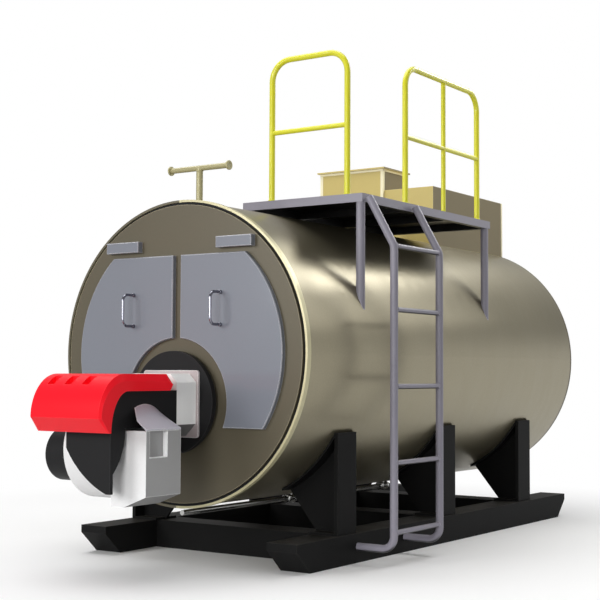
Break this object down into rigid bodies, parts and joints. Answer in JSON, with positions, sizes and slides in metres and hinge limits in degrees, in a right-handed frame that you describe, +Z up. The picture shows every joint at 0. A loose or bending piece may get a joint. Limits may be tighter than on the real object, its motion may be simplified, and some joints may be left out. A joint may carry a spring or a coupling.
{
  "type": "industrial boiler",
  "caption": "Packaged horizontal fire-tube boiler on a skid, with hung front doors, a forced-draught burner, a top platform with guard rails and a side ladder",
  "frame": {"origin": "on the floor below the front end of the shell, in the middle of its width", "axes": "+X right of the front face, +Y from the burner end to the rear, +Z up"},
  "size_m": [2.4358, 5.843, 3.799],
  "materials": {
    "olive_metal": "brushed olive metallic",
    "trim_metal": "bright",
    "front_paint": "satin",
    "door_paint": "satin",
    "chrome": "polished",
    "frame_paint": "satin",
    "rail_paint": "gloss",
    "black_paint": "satin",
    "burner_black": "matte",
    "hood_red": "gloss",
    "light_grey": "satin",
    "box_tan": "satin",
    "tee_brass": "satin",
    "drain_steel": "bright"
  },
  "bodies": {
    "root": {"shell": "olive_metal", "front_rim": "trim_metal", "front_plate": "front_paint", "rear_plate": "front_paint", "door_left": "door_paint", "door_right": "door_paint", "door_hanger_left": "door_paint", "door_hanger_right": "door_paint", "door_handle_left": "chrome", "door_handle_right": "chrome", "burner_disc": "burner_black", "burner_flange": "light_grey", "burner_neck": "light_grey", "burner_hood": "hood_red", "burner_body": "burner_black", "fan_scroll": "light_grey", "fan_motor": "burner_black", "intake_box": "light_grey", "vent_tee": "tee_brass", "platform_deck": "frame_paint", "platform_frame": "frame_paint", "platform_leg_front": "frame_paint", "platform_leg_rear": "frame_paint", "guard_rail_front": "rail_paint", "guard_rail_side": "rail_paint", "ladder_stringer_front": "frame_paint", "ladder_stringer_rear": "frame_paint", "ladder_rung_1": "frame_paint", "ladder_rung_2": "frame_paint", "ladder_rung_3": "frame_paint", "ladder_rung_4": "frame_paint", "ladder_rung_5": "frame_paint", "smoke_box": "box_tan", "flue_box": "box_tan", "flue_box_lid": "box_tan", "skid_beam_left": "black_paint", "skid_beam_right": "black_paint", "skid_cross_front": "black_paint", "skid_cross_middle": "black_paint", "skid_cross_rear": "black_paint", "saddle_left_1": "black_paint", "saddle_left_2": "black_paint", "saddle_left_3": "black_paint", "saddle_right_1": "black_paint", "saddle_right_2": "black_paint", "saddle_right_3": "black_paint", "drain_line": "drain_steel"}
  },
  "joints": []
}
